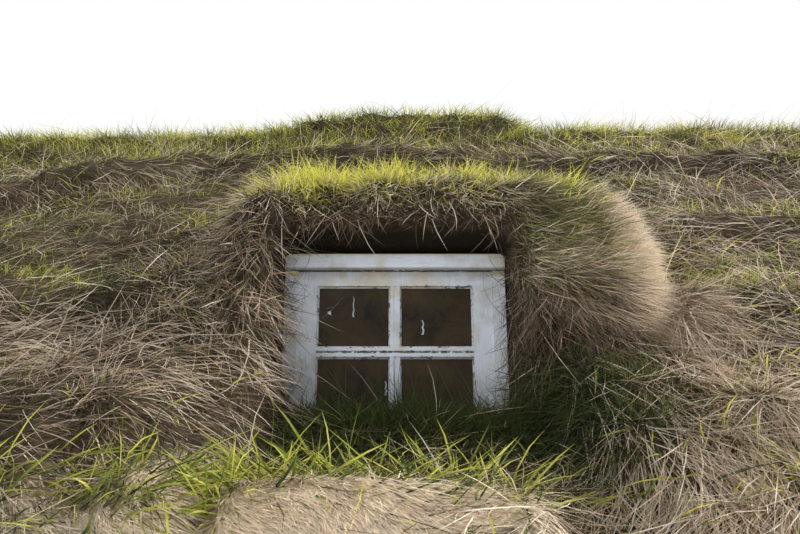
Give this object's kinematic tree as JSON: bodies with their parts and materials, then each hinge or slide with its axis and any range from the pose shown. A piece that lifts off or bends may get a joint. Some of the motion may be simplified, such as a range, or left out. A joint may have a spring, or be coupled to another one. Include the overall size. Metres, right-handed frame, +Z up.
{
  "type": "turf house",
  "caption": "Small turf house with thick turf walls and roof, a white timber window in a hooded turf dormer, and a plank door in the east gable.",
  "frame": {"origin": "ground level under the middle of the house", "axes": "+Z up, the front with the window looks to -Y, the ridge runs along X, the door is in the +X gable"},
  "size_m": [8, 7, 4.2973],
  "materials": {
    "turf": "matte turf, brown soil with dry and green grass",
    "timber": "aged bare boards",
    "white_timber": "weathered white paint on wood",
    "door_timber": "dark tarred planks",
    "window_glass": "old dusty pane"
  },
  "bodies": {
    "root": {"front_wall_west": "turf", "front_wall_east": "turf", "front_wall_under_window": "turf", "back_wall": "turf", "west_gable_wall": "turf", "east_gable_wall_front": "turf", "east_gable_wall_back": "turf", "east_gable_wall_over_door": "turf", "roof_turf_front_west": "turf", "roof_turf_front_east": "turf", "roof_turf_front_upper": "turf", "roof_turf_back": "turf", "ridge_turf": "turf", "dormer_turf_hood": "turf", "dormer_turf_west_cheek": "turf", "dormer_turf_east_shoulder": "turf", "sarking_front_west": "timber", "sarking_front_east": "timber", "sarking_front_upper": "timber", "sarking_back": "timber", "rafters_front": "timber", "rafters_back": "timber", "collar_beams": "timber", "ridge_board": "timber", "wall_plates": "timber", "posts_front": "timber", "posts_back": "timber", "floor": "timber", "floor_joists": "timber", "panelling_front": "timber", "panelling_back": "timber", "panelling_west": "timber", "panelling_east": "timber", "window_frame": "white_timber", "window_head_casing": "white_timber", "window_sash": "white_timber", "window_glass": "window_glass", "window_board": "timber", "dormer_lining_sides": "timber", "dormer_lining_top": "timber", "door_frame": "door_timber", "door_leaf": "door_timber", "door_threshold": "door_timber", "door_passage_sides": "timber", "door_passage_top": "timber"}
  },
  "joints": []
}
